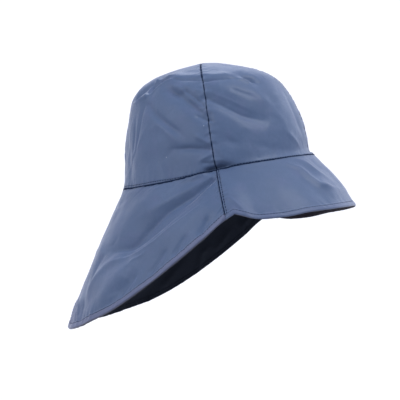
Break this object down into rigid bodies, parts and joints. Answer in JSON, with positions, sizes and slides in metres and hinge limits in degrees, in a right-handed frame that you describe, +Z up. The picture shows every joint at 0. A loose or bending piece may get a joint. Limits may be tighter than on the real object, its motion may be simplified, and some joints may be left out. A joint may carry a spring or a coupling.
{
  "type": "rain hat",
  "caption": "Rain hat of coated cloth: a gored crown, a short front brim and a long flap over the neck, open below for a head.",
  "frame": {"origin": "middle of the head opening, level with the band seam between the crown and the brim and flap", "axes": "+X to the front brim, +Y to the wearer's left, +Z up, with the hat as it sits on an upright head"},
  "size_m": [0.3078, 0.2364, 0.2813],
  "materials": {
    "coated_cloth": "smooth waterproof coating with a soft shine",
    "dark_lining": "dull dark woven cloth"
  },
  "bodies": {
    "root": {"crown_front_right": "coated_cloth", "crown_front_left": "coated_cloth", "crown_back_right": "coated_cloth", "crown_back_left": "coated_cloth", "brim": "coated_cloth", "neck_flap": "coated_cloth", "brim_lining": "dark_lining", "flap_lining": "dark_lining"}
  },
  "joints": []
}
